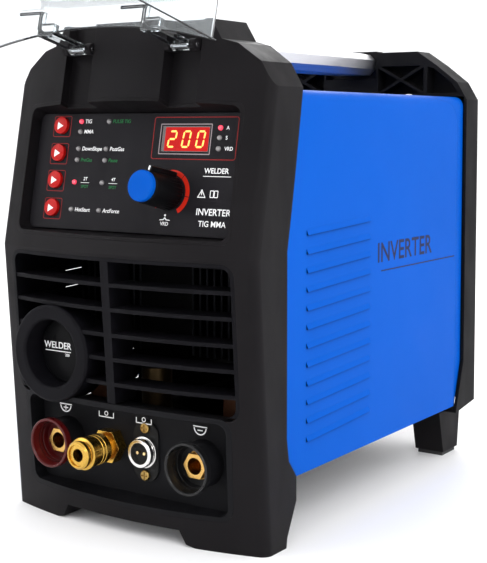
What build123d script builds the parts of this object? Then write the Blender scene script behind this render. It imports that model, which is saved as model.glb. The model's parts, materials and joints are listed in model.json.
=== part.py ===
from build123d import *
import math
import os

# Inverter welding machine for electrode and inert-gas work, in millimetres. +Z up, front towards -Y.
# Shapes are drawn with Y = 0 at the foremost point of the bowed front, then moved back by CASE_SHIFT,
# so that the origin is on the floor, under the middle of the whole machine with its clear cover open.

# Case
HALF_W = 128.25          # half width over both bezels
BOW_R = 430.0            # plan radius of the bowed front
CREASE_Z = 225.0         # height where the front changes slope
LEAN_UP = 11.0           # backward lean above the crease, degrees
LEAN_DOWN = 4.3          # backward lean below the crease, degrees
TOP_Z = 404.5            # top of the front bezel
REAR_TOP = 397.0         # top of the rear bezel
REAR_Y = 416.4           # rear face
REAR_FRONT = 387.6       # front edge of the rear bezel's flank
CORNER_R = 9.0           # edge between bowed front and flank
WALL = 3.0               # moulded wall
SEAM = 0.1               # hairline between mouldings set into each other
JOIN = 0.02              # end of each wall or slat short of its neighbour
CASE_SHIFT = 159.27      # half way from the open cover's front edge to the rearmost fitting

# Sheet-metal cover
COVER_X = 126.5          # outer face of the raised side field
FIELD_STEP = 1.6         # height of the raised side field
SHEET = 1.2
COVER_LOW = 52.0
COVER_TOP = 351.5
FIELD_END = 369.0        # where the raised field stops, near the rear
LOUVRES = 12
LOUVRE_PITCH = 14.8
LOUVRE_TOP_Z = 241.0

# Rear edge of the front bezel in side view, from the bottom up: Y, Z
BEZEL_EDGE = [(77, 53), (66, 67), (63, 85), (63, 229), (69, 259), (74.5, 289), (85, 352)]

# Front openings
PANEL_DEPTH = 22.0       # control panel behind the foremost line of the front
RECESS_X = 108.0
RECESS_LOW = 234.5
RECESS_HIGH = 339.0
GROOVE_IN = 36.0         # hinge grooves above the control panel
GROOVE_OUT = 68.0
GROOVE_DEPTH = 14.0
GRILLE_X = 109.0
GRILLE_LOW = 106.0
GRILLE_HIGH = 219.0
SLAT_Z = (121.6, 141.5, 160.8, 181.0, 200.5)
SLAT_T = 3.2
SLAT_DEPTH = 26.0
BADGE_X = -62.0
BADGE_Z = 140.0
BADGE_Y = 24.0           # front of the disc, deep inside its ring
RING_R = 39.6            # badge ring
SOCKET_FLOOR_Y = 36.0
BOSS_Y = 18.0            # front of the moulded boss round a current socket
SOCKET_X = 70.0
SOCKET_Z = 64.0
GAS_X = -22.0
GAS_Z = 65.0
CONTROL_X = 13.5
CONTROL_Z = 64.5
CONTROL_SCREW = 19.2     # screws above and below the control socket

# Control panel items: X and height
BUTTON_X = -78.2
BUTTON_Z = (323.7, 301.3, 279.2, 256.5)
BUTTON_R = 7.0
KNOB_X = 42.0
KNOB_Z = 272.0
KNOB_H = 38.4            # front of the cap above the panel
KNOB_ANGLE = 76.0        # direction of the pointer, from +X
LED_R = 2.0
LED_LEFT = -57.5         # columns of lamps
LED_MIDDLE = -28.0
LED_RIGHT = 82.7
LEDS_LIT = ((LED_LEFT, 327.0), (LED_LEFT, 277.8), (LED_RIGHT, 322.0))
LEDS_OFF = ((LED_LEFT, 318.7), (LED_LEFT, 304.9), (LED_LEFT, 295.8), (LED_LEFT, 255.8),
            (LED_MIDDLE, 327.0), (LED_MIDDLE, 304.9), (LED_MIDDLE, 295.8), (LED_MIDDLE, 277.8),
            (LED_MIDDLE, 255.8), (LED_RIGHT, 314.4), (LED_RIGHT, 306.2))
DISPLAY_X = 50.0
DISPLAY_Z = 313.6
DISPLAY_W = 46.0
DISPLAY_H = 20.6

# Clear flip-up cover
HINGE_Z = 385.0
HINGE_BACK = 2.0         # hinge axis behind the foremost line of the front
HINGE_X = 52.0
COVER_OPEN = 93.0        # degrees from closed to the open rest position
CLEAR_T = 2.0
CLEAR_X = 113.0
CLEAR_NEAR = 40.0        # from hinge axis to the cover's top wall
CLEAR_FAR = 153.0        # from hinge axis to the cover's lower edge
CLEAR_OUT = 20.5         # outer face in front of the hinge axis
CLEAR_EDGE = 3.2         # free edge in front of the hinge axis
PIN_R = 1.5
RUN = 0.05               # radial running clearance

# Rear
FAN_Z = 130.0
FAN_HALF = 60.0
FAN_Y0 = 386.4
FAN_Y1 = 411.4
SWITCH_X = 62.0
SWITCH_Z = 285.0
GLAND_Z = 285.0
INLET_X = -62.0
INLET_Z = 285.0
EARTH_X = -98.0
EARTH_Z = 72.0
REAR_X = 118.0           # half width of the flat rear panel
REAR_HALF = 140.0        # its half height
REAR_MIDDLE = 200.0
REAR_SPLIT = 238.0       # seam between its two fields
HANDLE_X = 24.0
HANDLE_LOW = 375.0
HANDLE_TOP = 397.0

TAN_UP = math.tan(math.radians(LEAN_UP))
COS_UP = math.cos(math.radians(LEAN_UP))
SIN_UP = math.sin(math.radians(LEAN_UP))
TAN_DOWN = math.tan(math.radians(LEAN_DOWN))


def save(name, *solids):
    """Write one node, moved from the drawing position to the row's origin."""
    flat = []
    for item in solids:
        flat.extend(item.solids())
    shape = flat[0] if len(flat) == 1 else Compound(children=flat)
    export_step(Pos(0, -CASE_SHIFT, 0) * shape, f"parts/{name}.step")


def lean_y(z):
    """Y of the front's centre line at a height."""
    if z > CREASE_Z:
        return (z - CREASE_Z) * TAN_UP
    return (CREASE_Z - z) * TAN_DOWN


def block(x0, x1, y0, y1, z0, z1):
    return Pos((x0 + x1) / 2, (y0 + y1) / 2, (z0 + z1) / 2) * Box(x1 - x0, y1 - y0, z1 - z0)


def both_sides(solid):
    return [solid, mirror(solid, Plane.YZ)]


def polygon(points):
    """Flat face with straight sides."""
    return make_face(Polyline(points, close=True).edges()).face()


def prism_x(points, x0, x1):
    return Solid.extrude(polygon([(x0, y, z) for y, z in points]), Vector(x1 - x0, 0, 0))


def prism_y(points, y0, y1):
    return Solid.extrude(polygon([(x, y0, z) for x, z in points]), Vector(0, y1 - y0, 0))


def rod_x(y, z, r, x0, x1):
    return Pos((x0 + x1) / 2, y, z) * Rot(0, 90, 0) * Cylinder(r, x1 - x0)


def rod_y(x, z, r, y0, y1):
    return Pos(x, (y0 + y1) / 2, z) * Rot(90, 0, 0) * Cylinder(r, y1 - y0)


def rod_z(x, y, r, z0, z1):
    return Pos(x, y, (z0 + z1) / 2) * Cylinder(r, z1 - z0)


def tube_y(x, z, outer, inner, y0, y1):
    return rod_y(x, z, outer, y0, y1) - rod_y(x, z, inner, y0 - 1, y1 + 1)


def hex_y(x, z, across_flats, y0, y1):
    side_r = across_flats / math.sqrt(3)
    face = Plane(origin=(x, y0, z), x_dir=(1, 0, 0), z_dir=(0, 1, 0)) * RegularPolygon(side_r, 6)
    return extrude(face, y1 - y0)


def plate_y(x, z, width, height, radius, y0, y1):
    """Rounded plate standing across the machine."""
    face = Plane(origin=(x, y0, z), x_dir=(1, 0, 0), z_dir=(0, -1, 0)) * RectangleRounded(width, height, radius)
    return extrude(face, y0 - y1)


def on_plane(depth, x, z, out=0.0):
    """Place on a plane parallel to the leaning upper front; local +Z points out of the machine."""
    plane = Plane(origin=(0, depth, CREASE_Z), x_dir=(1, 0, 0), z_dir=(0, -COS_UP, SIN_UP))
    return plane.location * Pos(x, (z - CREASE_Z) / COS_UP, out)


def on_panel(x, z, out=0.0):
    return on_plane(PANEL_DEPTH, x, z, out)


def panel_rod(x, z, r, low, high):
    return on_panel(x, z, (low + high) / 2) * Cylinder(r, high - low)


def panel_block(x, z, width, height, low, high):
    return on_panel(x, z, (low + high) / 2) * Box(width, height, high - low)


# ---------------------------------------------------------------- front bezel

def bowed_block(inset, back):
    """Everything behind the bowed, leaning front, moved inwards by inset."""
    half = HALF_W - inset
    sag = half * half / (2 * BOW_R)
    arc = ThreePointArc((-half, sag + inset, CREASE_Z), (0, inset, CREASE_Z), (half, sag + inset, CREASE_Z))
    sides = Polyline((half, sag + inset, CREASE_Z), (half, back, CREASE_Z),
                     (-half, back, CREASE_Z), (-half, sag + inset, CREASE_Z))
    plan = make_face(arc.edges() + sides.edges())
    corners = [v for v in plan.vertices() if v.Y < sag + inset + 1]
    plan = fillet(corners, max(1.0, CORNER_R - inset * 0.8)).face()
    rise = TOP_Z + 10 - CREASE_Z
    upper = Solid.extrude(plan, Vector(0, rise * TAN_UP, rise))
    lower = Solid.extrude(plan, Vector(0, (CREASE_Z + 5) * TAN_DOWN, -CREASE_Z - 5))
    return upper + lower


def front_outline(inset):
    """Front view of the bezel, with its two feet."""
    right = [(57.5, 12.8), (63.0, 2.0), (71.0, 0.0), (HALF_W, 0.0), (HALF_W, 353.0), (117.0, 371.5),
             (97.5, 385.5), (84.0, 389.0), (74.0, TOP_Z)]
    left = [(-x, z) for x, z in reversed(right)]
    face = polygon([(x, -60, z) for x, z in right + left])
    if inset:
        face = offset(face, -inset, kind=Kind.INTERSECTION).face()
    return Solid.extrude(face, Vector(0, 260, 0))


def front_side_profile():
    """Side view of the bezel: its rear edge steps back towards the top and the foot."""
    foot = [(-60, -5), (62, -5), (64, 8), (77, 34)]
    top = [(88, TOP_Z + 5), (-60, TOP_Z + 5)]
    return prism_x(foot + BEZEL_EDGE + top, -HALF_W - 1, HALF_W + 1)


def panel_well(grow, low, high):
    """Tapered well of the control panel between two depths, measured out from the panel."""
    middle = (RECESS_LOW + RECESS_HIGH) / 2
    height = (RECESS_HIGH - RECESS_LOW) / COS_UP
    taper = 0.2
    faces = []
    for out in (low, high):
        spread = 2 * grow + 2 * taper * (out - PANEL_DEPTH)
        faces.append(on_panel(0, middle, out) * RectangleRounded(2 * RECESS_X + spread, height + spread, 7))
    return loft([item.faces()[0] for item in faces])


def socket_well(grow, y_front, y_back):
    """Tapered well that holds the front sockets."""
    middle = 64.0
    faces = []
    for y in (y_front, y_back):
        inward = max(0.0, (y - 8.0)) * 0.4
        plane = Plane(origin=(0, y, middle), x_dir=(1, 0, 0), z_dir=(0, -1, 0))
        width = 2 * (GRILLE_X - inward + grow)
        height = 2 * (40.0 - inward * 0.4 + grow)
        faces.append((plane * RectangleRounded(width, height, 8 + grow)).faces()[0])
    return loft(faces)


def groove_cut():
    middle = (GROOVE_IN + GROOVE_OUT) / 2
    cut = on_plane(GROOVE_DEPTH, middle, 376.0, 25) * Box(GROOVE_OUT - GROOVE_IN, 84.0 / COS_UP, 50)
    return both_sides(cut)


def groove_wall():
    middle = (GROOVE_IN + GROOVE_OUT) / 2
    width = GROOVE_OUT - GROOVE_IN + 2 * WALL
    wall = on_plane(GROOVE_DEPTH + WALL, middle, 374.0, 10) * Box(width, 78.0 / COS_UP, 20)
    return both_sides(wall)


def hinge_ears():
    """Pairs of ears in each groove that carry the clear cover's pins."""
    y_axis, ears = hinge_y(), []
    for x in (GROOVE_IN + 1.5, GROOVE_OUT - 6.5):
        ear = rod_x(y_axis, HINGE_Z, 4.6, x, x + 5)
        ear += block(x, x + 5, y_axis, y_axis + 14, HINGE_Z - 4.6, HINGE_Z + 4.6)
        ears += both_sides(ear - rod_x(y_axis, HINGE_Z, PIN_R, x - 1, x + 6))
    return ears


def front_room():
    return bowed_block(0, 150) & front_outline(0)


def grille_window(grow):
    middle = (GRILLE_LOW + GRILLE_HIGH) / 2
    height = GRILLE_HIGH - GRILLE_LOW
    return plate_y(0, middle, 2 * (GRILLE_X + grow), height + 2 * grow, 8 + grow, -30, 60)


def badge_bore():
    """Room for the badge ring in the mouldings round it."""
    return rod_y(BADGE_X, BADGE_Z, RING_R + SEAM, -30, 60)


def front_bezel():
    """Outer shell, with windows for the panel surround, the grille and the socket tray."""
    room = front_room() & front_side_profile()
    shell = room - (bowed_block(WALL, 170) & front_outline(WALL))
    for wall in groove_wall():
        shell += wall & room
    shell -= panel_well(WALL + SEAM, -8 - SEAM, PANEL_DEPTH + 40)
    shell -= socket_well(WALL + SEAM, 0, SOCKET_FLOOR_Y)
    shell -= grille_window(WALL + SEAM)
    for cut in groove_cut():
        shell -= cut
    for ear in hinge_ears():
        shell += ear
    return shell


def panel_surround():
    """Walls of the control panel's well: two sides, a sill, and a head notched by the hinge grooves."""
    ring = (panel_well(WALL, -8, PANEL_DEPTH + 6) & front_room()) - panel_well(0, -12, PANEL_DEPTH + 40)
    for cut in groove_cut():
        ring -= cut
    middle = (RECESS_LOW + RECESS_HIGH) / 2
    end = RECESS_X - 12
    spans = [(-end, -GROOVE_OUT), (-GROOVE_OUT, -GROOVE_IN), (-GROOVE_IN, GROOVE_IN), (GROOVE_IN, GROOVE_OUT),
             (GROOVE_OUT, end)]
    walls = both_sides(ring & block(end, 130, -60, 90, 200, 380))
    walls.append(ring & block(-end + JOIN, end - JOIN, -60, 90, 200, middle))
    for x0, x1 in spans:
        walls.append(ring & block(x0 + JOIN, x1 - JOIN, -60, 90, middle, 380))
    return walls


def slat(z, x0, x1, skin):
    return skin & block(x0, x1, -20, 60, z - SLAT_T / 2, z + SLAT_T / 2)


def front_grille():
    """Air outlet following the bow: frame, middle bar, slats, and the ring that holds the badge."""
    skin = bowed_block(0.8, 150) - bowed_block(SLAT_DEPTH, 170)
    frame = (bowed_block(0, 150) - bowed_block(SLAT_DEPTH, 170)) & (grille_window(WALL) - grille_window(0))
    end = GRILLE_X - 10
    parts = both_sides(frame & block(end, 130, -60, 90, GRILLE_LOW, GRILLE_HIGH + 5))
    parts.append(frame & block(-end + JOIN, end - JOIN, -60, 90, GRILLE_HIGH - 5, GRILLE_HIGH + 5))
    parts.append(skin & block(-5.0, 3.0, -20, 60, GRILLE_LOW + JOIN, GRILLE_HIGH - JOIN))
    for z in SLAT_Z:
        parts.append(slat(z, 3.0 + JOIN, GRILLE_X - JOIN, skin))
        parts += (slat(z, JOIN - GRILLE_X, -5.0 - JOIN, skin) - badge_bore()).solids()
    return parts + [badge_ring()]


def badge_ring():
    ring = tube_y(BADGE_X, BADGE_Z, RING_R, 27.2, 5.0, BADGE_Y + 8)
    ring = fillet(ring.edges().filter_by(GeomType.CIRCLE).group_by(Axis.Y)[0], 2.5)
    for angle in (90, 210, 330):
        ring += Pos(BADGE_X, BADGE_Y + 6, BADGE_Z) * Rot(0, -angle, 0) * Pos(18, 0, 0) * Box(26, 4, 6)
    return ring + rod_y(BADGE_X, BADGE_Z, 9.0, BADGE_Y + 4, BADGE_Y + 8)


def socket_tray():
    """Recess of the front sockets: four walls and a floor in three fields, two with a boss."""
    ring = (socket_well(WALL, 0, SOCKET_FLOOR_Y) & front_room()) - socket_well(0, -30, SOCKET_FLOOR_Y + 1)
    ring = ring - grille_window(SEAM) - badge_bore()
    end, floor_end, split = 92, 105, 44
    parts = both_sides(ring & block(end, 130, -30, 90, 0, 130))
    parts.append(ring & block(-end + JOIN, end - JOIN, -30, 90, SOCKET_Z, 130))
    parts.append(ring & block(-end + JOIN, end - JOIN, -30, 90, 0, SOCKET_Z))
    back = socket_well(WALL, SOCKET_FLOOR_Y + JOIN, SOCKET_FLOOR_Y + WALL) - badge_bore()
    for x0, x1 in ((-floor_end, -split), (-split, split), (split, floor_end)):
        field = back & block(x0 + JOIN, x1 - JOIN, 0, 90, 0, 130)
        if x1 - x0 < 2 * split:
            x = math.copysign(SOCKET_X, x0)
            field += rod_y(x, SOCKET_Z, 18.2, BOSS_Y, SOCKET_FLOOR_Y + 1)
        for x, z, r in front_holes():
            field -= rod_y(x, z, r, BOSS_Y - 1, SOCKET_FLOOR_Y + WALL + 1)
        parts.append(field)
    return parts


def front_holes():
    """Holes in the socket floor: X, height, radius."""
    return [(-SOCKET_X, SOCKET_Z, 16.4), (SOCKET_X, SOCKET_Z, 16.4), (GAS_X, GAS_Z, 8.4),
            (CONTROL_X, CONTROL_Z, 9.9), (CONTROL_X, CONTROL_Z + CONTROL_SCREW, 1.6),
            (CONTROL_X, CONTROL_Z - CONTROL_SCREW, 1.6)]


def badge_disc():
    disc = rod_y(BADGE_X, BADGE_Z, 26.9, BADGE_Y, BADGE_Y + 4)
    return chamfer(disc.edges().filter_by(GeomType.CIRCLE).group_by(Axis.Y)[0], 1.0)


# ---------------------------------------------------------------- clear cover

def hinge_y():
    return lean_y(HINGE_Z) + HINGE_BACK


def cover_frame():
    """Closed cover's own frame: origin on the hinge axis, local Z out of the machine, local Y up."""
    return Plane(origin=(0, hinge_y(), HINGE_Z), x_dir=(1, 0, 0), z_dir=(0, -COS_UP, SIN_UP)).location


def bowed_slab(half, out, back, y_low, y_high):
    """Slab with a bowed outer face like the machine's front and a flat back, in the cover's frame."""
    sag = half * half / (2 * BOW_R)
    arc = ThreePointArc((-half, y_low, out - sag), (0, y_low, out), (half, y_low, out - sag))
    rest = Polyline((half, y_low, out - sag), (half, y_low, back), (-half, y_low, back), (-half, y_low, out - sag))
    return Solid.extrude(make_face(arc.edges() + rest.edges()).face(), Vector(0, y_high - y_low, 0))


def closed_cover():
    body = block(-CLEAR_X, CLEAR_X, -CLEAR_FAR, -CLEAR_NEAR, -20, CLEAR_OUT)
    body = fillet(body.edges().filter_by(Axis.Z) + body.edges().group_by(Axis.Z)[-1], 5)
    half = CLEAR_X - CLEAR_T
    inner = block(-half, half, CLEAR_T - CLEAR_FAR, -CLEAR_NEAR - CLEAR_T, -30, CLEAR_OUT - CLEAR_T)
    body -= fillet(inner.edges().filter_by(Axis.Z) + inner.edges().group_by(Axis.Z)[-1], 3)
    body -= bowed_slab(CLEAR_X + 5, CLEAR_EDGE, -40, -CLEAR_FAR - 5, 5)
    for side in (-1, 1):
        x = side * HINGE_X
        body += Pos(x, 0, 0) * Rot(0, 90, 0) * Cylinder(4.2, 16)
        body += Pos(x, -CLEAR_NEAR / 2 - 0.8, 0.8) * Box(16, CLEAR_NEAR + 1.6, 4.6)
        body += Pos(x, -CLEAR_NEAR + 3, 4.5) * Box(16, 6, 8)
        body += block(x - 8, x - 5.8, -CLEAR_NEAR - 1, -CLEAR_NEAR + 5, 2, CLEAR_OUT - 1)
        body += block(x - 30, x - 5.8, -CLEAR_NEAR - 1, -CLEAR_NEAR + 2.4, CLEAR_OUT - 3.6, CLEAR_OUT - 1)
        body -= Pos(x, 0, 0) * Rot(0, 90, 0) * Cylinder(PIN_R + RUN, 18)
    return body


def panel_cover():
    closed = cover_frame() * closed_cover()
    y_axis = hinge_y()
    return Pos(0, y_axis, HINGE_Z) * Rot(-COVER_OPEN, 0, 0) * Pos(0, -y_axis, -HINGE_Z) * closed


def cover_pins():
    return both_sides(rod_x(hinge_y(), HINGE_Z, PIN_R, GROOVE_IN + 1.5, GROOVE_OUT - 1.5))


# ---------------------------------------------------------------- control panel

def control_plate():
    middle = (RECESS_LOW + RECESS_HIGH) / 2
    height = (RECESS_HIGH - RECESS_LOW) / COS_UP
    shrink = 2 * 0.2 * PANEL_DEPTH + 2.2
    face = on_panel(0, middle, -2.5) * RectangleRounded(2 * RECESS_X - shrink, height - shrink, 6)
    plate = extrude(face, 2.5)
    for z in BUTTON_Z:
        plate -= panel_rod(BUTTON_X, z, BUTTON_R + 0.4, -5, 5)
    for x, z in LEDS_LIT + LEDS_OFF:
        plate -= panel_rod(x, z, LED_R + 0.05, -5, 5)
    plate -= panel_rod(KNOB_X, KNOB_Z, 4.7, -5, 5)
    plate -= panel_block(DISPLAY_X, DISPLAY_Z, DISPLAY_W, DISPLAY_H, -5, 5)
    return plate


def display_window():
    return panel_block(DISPLAY_X, DISPLAY_Z, DISPLAY_W - 0.4, DISPLAY_H - 0.4, -1.9, -0.3)


def display_module():
    return panel_block(DISPLAY_X, DISPLAY_Z, DISPLAY_W - 2, DISPLAY_H - 2, -9.8, -2.2)


def led_lenses(places):
    lenses = []
    for x, z in places:
        lenses.append(panel_rod(x, z, LED_R, -6.0, 0.5) + on_panel(x, z, 0.5) * Sphere(LED_R))
    return lenses


def push_button(z):
    cap = panel_rod(BUTTON_X, z, BUTTON_R, -4.2, 2.4)
    dome = on_panel(BUTTON_X, z, 2.4 - 22.0) * Sphere(23.2) & panel_rod(BUTTON_X, z, BUTTON_R, 2.0, 5)
    flange = panel_rod(BUTTON_X, z, BUTTON_R + 1.6, -4.2, -2.9)
    stem = panel_rod(BUTTON_X, z, 1.8, -5.5, -4.2)
    return cap + dome + flange + stem


def tact_switches():
    return [panel_block(BUTTON_X, z, 6, 6, -10.6, -7.0) for z in BUTTON_Z]


def knob_body():
    bore = 3.02
    profile = [(bore, 2.0), (13.2, 2.0), (14.0, 3.5), (13.6, 8.0), (12.8, KNOB_H - 6.0), (12.3, KNOB_H - 4.3),
               (bore, KNOB_H - 4.3)]
    body = revolve(polygon([(x, 0, z) for x, z in profile]), Axis.Z)
    body -= Pos(0, 0, 14) * Cylinder(10.2, 26) - Pos(0, 0, 14) * Cylinder(5.5, 28)
    pointer = block(12.0, 16.6, -2.6, 2.6, 2.6, KNOB_H - 4.6)
    body += chamfer(pointer.edges().filter_by(Axis.Z), 0.6)
    for step in range(1, 24):
        angle = math.radians(15 * step)
        body -= Pos(14.1 * math.cos(angle), 14.1 * math.sin(angle), KNOB_H / 2) * Cylinder(0.9, KNOB_H)
    return on_panel(KNOB_X, KNOB_Z) * Rot(0, 0, KNOB_ANGLE) * body


def knob_cap():
    cap = Pos(0, 0, KNOB_H - 2.0) * Cylinder(12.0, 4.0)
    cap = fillet(cap.edges().filter_by(GeomType.CIRCLE).group_by(Axis.Z)[-1], 1.2)
    return on_panel(KNOB_X, KNOB_Z) * cap


def encoder_shaft():
    return panel_rod(KNOB_X, KNOB_Z, 3.0, -5.0, KNOB_H - 5.0)


def encoder_body():
    body = panel_block(KNOB_X, KNOB_Z, 12, 13, -10.2, -2.7)
    body += panel_rod(KNOB_X, KNOB_Z, 4.5, -2.7, 1.6)
    body -= panel_rod(KNOB_X, KNOB_Z, 3.0 + RUN, -5.0, 3)
    return body - panel_rod(KNOB_X, KNOB_Z, 3.6, -5.6, -5.0)


def control_pcb():
    return panel_block(0, 289, 196, 90, -12.2, -10.6)


# ---------------------------------------------------------------- sheet-metal cover

def cover_section(half, top, radius, y0, y1):
    face = Plane(origin=(0, y0, 0), x_dir=(1, 0, 0), z_dir=(0, -1, 0)) * Pos(0, top / 2) * Rectangle(2 * half, top)
    upper = [v for v in face.vertices() if v.Z > top - 1]
    return extrude(fillet(upper, radius), y0 - y1)


def field_region(inset):
    """Side view of the raised side field: it starts behind the bezel's edge, its upper rear corner is round."""
    z1 = 380.0
    y1 = FIELD_END - inset
    corner = COVER_TOP - 4.0 - inset
    low, back = corner - 24.0, y1 - 40.0
    front = [(y + 0.8 + inset, z, 0) for y, z in reversed(BEZEL_EDGE)]
    path = Polyline(front[-1], (BEZEL_EDGE[0][0] + 1, 30, 0), (y1, 30, 0), (y1, low, 0))
    bend = Bezier((y1, low, 0), (y1, corner, 0), (back, corner, 0))
    rest = Polyline((back, corner, 0), (back, z1, 0), (front[0][0], z1, 0), *front)
    face = make_face(path.edges() + bend.edges() + rest.edges())
    turned = Plane(origin=(-140, 0, 0), x_dir=(0, 1, 0), z_dir=(1, 0, 0)).location * face
    return Solid.extrude(turned.face(), Vector(280, 0, 0))


def louvre_bars(profile):
    """Long shallow prisms on both sides, sloping up towards the rear."""
    bars = []
    for row in range(LOUVRES):
        z = LOUVRE_TOP_Z - row * LOUVRE_PITCH
        bar = prism_y(profile, 0, 103)
        bars += both_sides(Pos(0, 94, z) * Rot(2.6, 0, 0) * bar)
    return bars


def cover_side_profile(back):
    """Side view of the whole cover, which runs under the front bezel's edge."""
    lap = 6.0
    front = [(y - lap, z) for y, z in BEZEL_EDGE]
    front[0] = (front[0][0], COVER_LOW)
    return prism_x(front + [(front[-1][0], 360), (back, 360), (back, 94), (back - 13.0, COVER_LOW)], -140, 140)


def cover_shell():
    low = cover_section(COVER_X - FIELD_STEP, COVER_TOP, 9.0, 40, REAR_FRONT + 4)
    high = cover_section(COVER_X, COVER_TOP, 10.0, 40, REAR_FRONT + 4) & field_region(0)
    solid = low + high
    low_in = cover_section(COVER_X - FIELD_STEP - SHEET, COVER_TOP - SHEET, 8.0, 30, REAR_FRONT + 9)
    high_in = cover_section(COVER_X - SHEET, COVER_TOP - SHEET, 9.0, 30, REAR_FRONT + 9) & field_region(SHEET)
    shell = (solid - low_in) - high_in
    bump = [(COVER_X - 0.6, 3.8), (COVER_X + 1.6, -2.2), (COVER_X - 0.6, -2.2)]
    mouth = [(COVER_X - 3.0, 2.0), (COVER_X - 0.4, 2.0), (COVER_X + 0.9, -2.4), (COVER_X - 3.0, -2.4)]
    for bar in louvre_bars(bump):
        shell += bar
    for bar in louvre_bars(mouth):
        shell -= bar
    shell = shell & cover_side_profile(REAR_FRONT - 1.0)
    flange = block(COVER_X - 14, COVER_X - SHEET + 0.3, 86, 360, COVER_LOW, COVER_LOW + SHEET)
    for item in both_sides(flange):
        shell += item
    for y in (110, 340):
        for x in (-90, 90):
            shell -= rod_z(x, y, 2.2, COVER_TOP - 5, COVER_TOP + 5)
    return shell


def cover_screws():
    screws = []
    for y in (110, 340):
        for x in (-90, 90):
            head = rod_z(x, y, 3.6, COVER_TOP + 0.02, COVER_TOP + 2.2)
            head = fillet(head.edges().filter_by(GeomType.CIRCLE).group_by(Axis.Z)[-1], 1.2)
            head += rod_z(x, y, 1.9, COVER_TOP - 11, COVER_TOP + 0.5)
            screws.append(head - rod_z(x, y, 1.1, COVER_TOP + 0.9, COVER_TOP + 3))
    return screws


# ---------------------------------------------------------------- rear bezel

def rear_outline(inset, y0, y1):
    right = [(0, 45), (HALF_W, 45), (HALF_W, 349), (118.0, 366), (96, 383), (75.0, REAR_TOP), (0, REAR_TOP)]
    left = [(-x, z) for x, z in reversed(right[1:-1])]
    face = polygon([(x, y0, z) for x, z in right + left])
    if inset:
        face = offset(face, -inset, kind=Kind.INTERSECTION).face()
    return Solid.extrude(face, Vector(0, y1 - y0, 0))


def truss_pockets(x0, x1, z0, z1, y0, y1):
    """Four triangular pockets that leave a crossed rib in a rectangle."""
    rib = 1.4
    xm, zm = (x0 + x1) / 2, (z0 + z1) / 2
    slant = rib * math.hypot(x1 - x0, z1 - z0) / (z1 - z0)
    rise = rib * math.hypot(x1 - x0, z1 - z0) / (x1 - x0)
    shapes = [[(x0 + slant, z1), (x1 - slant, z1), (xm, zm + rise)],
              [(x0 + slant, z0), (x1 - slant, z0), (xm, zm - rise)],
              [(x0, z0 + rise), (x0, z1 - rise), (xm - slant, zm)],
              [(x1, z0 + rise), (x1, z1 - rise), (xm + slant, zm)]]
    return [prism_y(shape, y0, y1) for shape in shapes]


def rear_bezel():
    side = prism_x([(371, 45), (REAR_Y, 51), (REAR_Y, REAR_TOP + 5), (REAR_FRONT, REAR_TOP + 5),
                    (REAR_FRONT, 94)], -140, 140)
    body = rear_outline(0, 360, REAR_Y) & side
    body = chamfer(body.edges().group_by(Axis.Y)[-1].filter_by(Axis.Y, reverse=True), 2.0)
    body -= block(-HALF_W + WALL, HALF_W - WALL, 350, REAR_Y - WALL, 48, COVER_TOP + 0.6)
    pockets = truss_pockets(31.5, 82, COVER_TOP + 4, 383, REAR_FRONT - 1, REAR_FRONT + 16)
    pockets.append(prism_y([(86, COVER_TOP + 4), (119, COVER_TOP + 4), (112, 366), (93, 380), (86, 382)],
                           REAR_FRONT - 1, REAR_FRONT + 16))
    for pocket in pockets:
        for item in both_sides(pocket):
            body -= item
    body -= block(-HANDLE_X - 5, HANDLE_X + 5, 380, 409, HANDLE_LOW - 4, REAR_TOP + 5)
    return body - plate_y(0, REAR_MIDDLE, 2 * REAR_X + 2 * SEAM, 2 * REAR_HALF + 2 * SEAM, 10 + SEAM, 400, 430)


def rear_panel():
    """Flat rear wall in two fields: the fan's below, the switch's, gland's and gas inlet's above."""
    wall = plate_y(0, REAR_MIDDLE, 2 * REAR_X, 2 * REAR_HALF, 10, REAR_Y - WALL, REAR_Y)
    lower = wall & block(-130, 130, 400, 430, 0, REAR_SPLIT - SEAM)
    lower -= rod_y(0, FAN_Z, 56.0, 400, 430)
    lower -= rod_y(EARTH_X, EARTH_Z, 3.3, 400, 430)
    for x in (-52.5, 52.5):
        for z in (FAN_Z - 52.5, FAN_Z + 52.5):
            lower -= rod_y(x, z, 2.2, 400, 430)
    upper = wall & block(-130, 130, 400, 430, REAR_SPLIT, 400)
    upper -= block(SWITCH_X - 11, SWITCH_X + 11, 400, 430, SWITCH_Z - 14.5, SWITCH_Z + 14.5)
    upper -= rod_y(0, GLAND_Z, 10.2, 400, 430)
    return [lower, upper - rod_y(INLET_X, INLET_Z, 6.6, 400, 430)]


def rear_feet():
    feet = []
    for side in (-1, 1):
        x0 = side * 100
        foot = prism_x([(372, 4.0), (404, 4.0), (409, 44.5), (362, 44.5)], x0 - 15, x0 + 15)
        feet.append(foot)
    return feet


def rear_foot_pads():
    return [block(side * 100 - 13, side * 100 + 13, 374, 402, 0.0, 4.0) for side in (-1, 1)]


# ---------------------------------------------------------------- handle

def handle_section(inset, y0, y1):
    half = HANDLE_X - inset
    low, top = HANDLE_LOW + inset, HANDLE_TOP - inset
    points = [(-half + 6, low), (half - 6, low), (half, low + 6), (half, top - 7), (half - 6, top - 1.5),
              (half - 13, top), (13 - half, top), (6 - half, top - 1.5), (-half, top - 7), (-half, low + 6)]
    return prism_y(points, y0, y1)


def handle_bar():
    return handle_section(0, 72, 402) - handle_section(2.6, 71, 403)


def handle_collar(y0, y1):
    outer = block(-HANDLE_X - 4.5, HANDLE_X + 4.5, y0, y1, HANDLE_LOW - 3.5, HANDLE_TOP + 2.0)
    outer = chamfer(outer.edges().filter_by(Axis.Y), 3.0)
    return outer - handle_section(-0.05, y0 - 1, y1 + 1)


# ---------------------------------------------------------------- front sockets

def revolve_y(x, z, profile):
    """Turn an (r, y) profile about a line along Y."""
    return Pos(x, 0, z) * revolve(polygon([(r, y, 0) for r, y in profile]), Axis.Y)


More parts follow.
